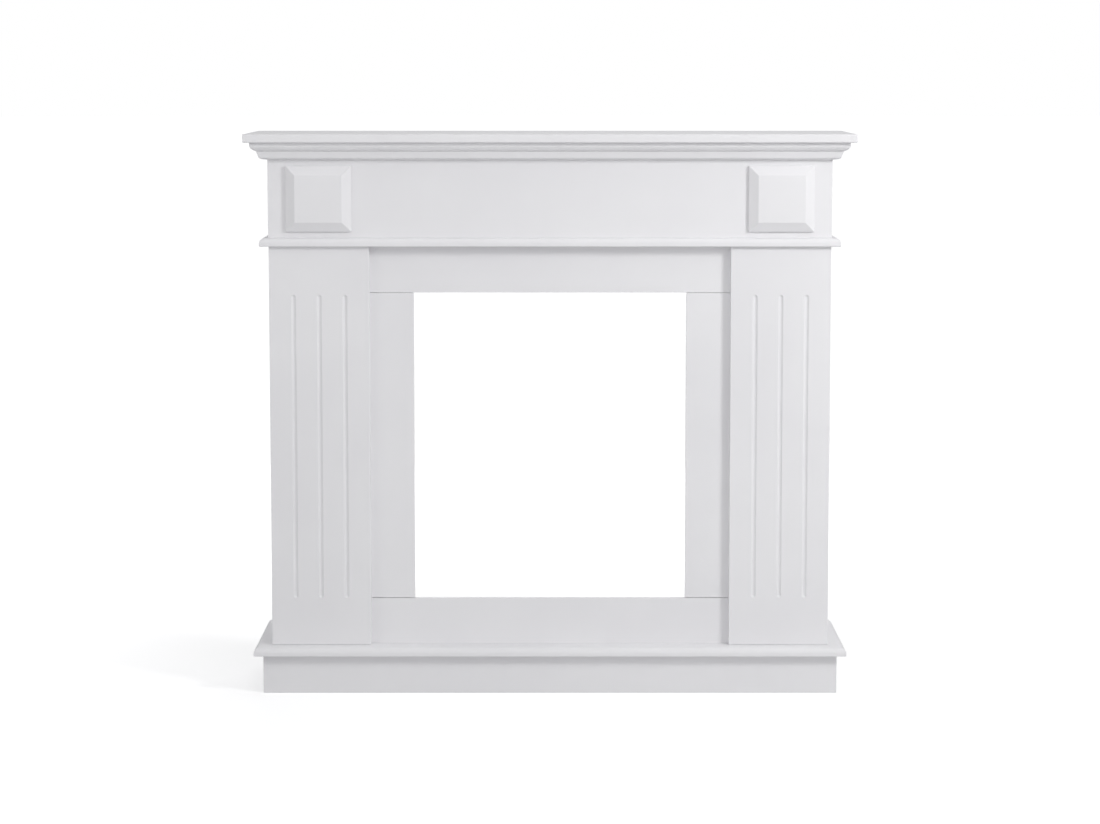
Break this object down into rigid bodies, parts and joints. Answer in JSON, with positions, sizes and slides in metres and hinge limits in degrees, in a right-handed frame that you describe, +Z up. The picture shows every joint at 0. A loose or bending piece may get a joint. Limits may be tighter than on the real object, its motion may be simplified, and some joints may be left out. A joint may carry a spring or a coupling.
{
  "type": "fireplace mantelpiece",
  "caption": "Freestanding white fireplace surround: shelf on a stepped crown, raised square blocks, fluted columns, flat inner frame round the fire opening, hearth board on a plinth.",
  "frame": {"origin": "on the floor, under the middle of the shelf", "axes": "+Z up, front faces -Y, the wall side is +Y, +X to the right seen from the front"},
  "size_m": [1.08, 0.28, 1],
  "materials": {
    "white_paint": "satin white painted fibreboard"
  },
  "bodies": {
    "root": {"mantel_shelf": "white_paint", "crown_upper": "white_paint", "crown_lower": "white_paint", "frieze_front": "white_paint", "frieze_side_left": "white_paint", "frieze_side_right": "white_paint", "block_left": "white_paint", "block_right": "white_paint", "ledge": "white_paint", "pilaster_front_left": "white_paint", "pilaster_front_right": "white_paint", "pilaster_outer_side_left": "white_paint", "pilaster_outer_side_right": "white_paint", "pilaster_inner_side_left": "white_paint", "pilaster_inner_side_right": "white_paint", "frame_top_rail": "white_paint", "frame_bottom_rail": "white_paint", "frame_stile_left": "white_paint", "frame_stile_right": "white_paint", "hearth_slab": "white_paint", "plinth_front": "white_paint", "plinth_side_left": "white_paint", "plinth_side_right": "white_paint"}
  },
  "joints": []
}
